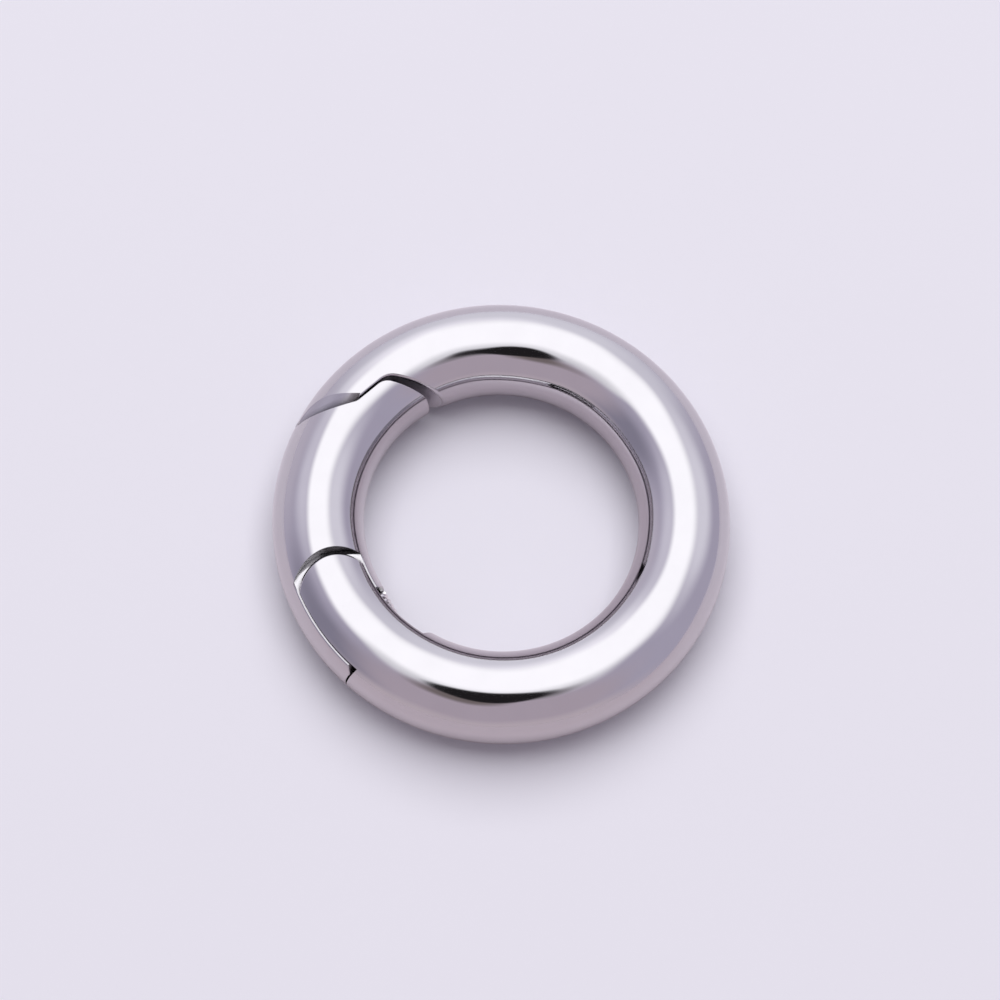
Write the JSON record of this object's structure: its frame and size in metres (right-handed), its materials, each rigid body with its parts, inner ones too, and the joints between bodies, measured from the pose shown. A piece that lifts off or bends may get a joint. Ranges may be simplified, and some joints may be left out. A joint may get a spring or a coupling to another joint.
{
  "type": "spring gate ring",
  "caption": "Round-wire connector ring with a hooked gate that swings into the eye about a flush riveted pin and is closed by a small coil spring in the hinge slot.",
  "frame": {"origin": "centre of the ring, at mid-thickness", "axes": "+Z along the ring's axis, square to its plane; the gate is on the -X side, with its hinge towards -Y and its nose towards +Y"},
  "size_m": [0.02, 0.02, 0.004],
  "materials": {
    "plated_wire": "bright polished rhodium or nickel plating",
    "spring_steel": "bright drawn spring wire"
  },
  "bodies": {
    "ring": {"ring_body": "plated_wire", "hinge_pin": "plated_wire", "gate_spring": "spring_steel"},
    "gate": {"gate": "plated_wire"}
  },
  "joints": [
    {"name": "gate_hinge", "type": "hinge", "parent": "ring", "child": "gate", "pos_m": [-0.0065, -0.00466, 0], "axis": [0, 0, -1], "range_deg": [0, 35], "stiffness_Nm_per_rad": 0.0127, "springref_deg": -18.33, "deforming": ["gate_spring"]}
  ]
}
